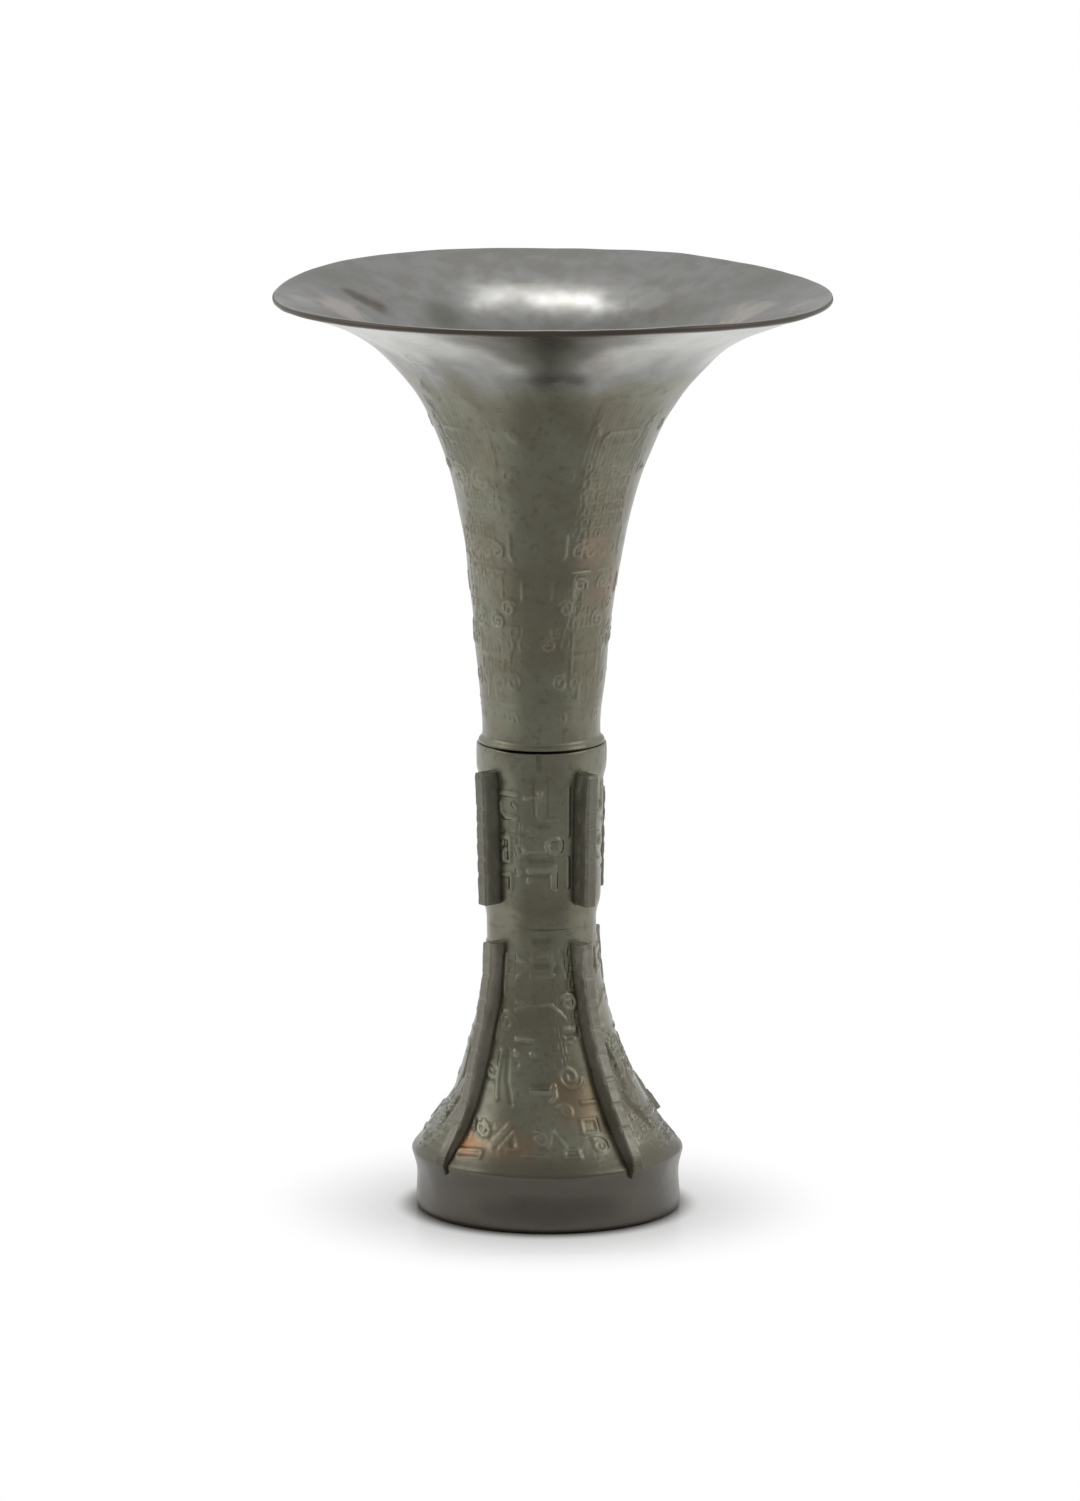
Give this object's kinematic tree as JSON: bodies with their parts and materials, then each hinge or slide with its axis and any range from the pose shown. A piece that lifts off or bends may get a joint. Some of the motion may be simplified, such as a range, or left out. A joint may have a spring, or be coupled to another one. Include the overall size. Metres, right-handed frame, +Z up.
{
  "type": "gu vessel",
  "caption": "Tall bronze gu with a wide trumpet mouth, slim neck, collared middle section and hollow flared foot on a plain ring, with notched flanges let into grooves.",
  "frame": {"origin": "on the floor, at the centre of the foot ring", "axes": "+Z up the vessel's axis; the flanges stand midway between the X and Y axes"},
  "size_m": [0.161, 0.161, 0.27],
  "materials": {
    "bronze": "satin",
    "solder": "matte"
  },
  "bodies": {
    "root": {"neck": "bronze", "middle_section": "bronze", "foot": "bronze", "cup_floor": "bronze", "middle_flange_1": "bronze", "middle_flange_2": "bronze", "middle_flange_3": "bronze", "middle_flange_4": "bronze", "foot_flange_1": "bronze", "foot_flange_2": "bronze", "foot_flange_3": "bronze", "foot_flange_4": "bronze", "neck_joint_solder": "solder", "cup_floor_solder": "solder", "foot_joint_solder": "solder"}
  },
  "joints": []
}
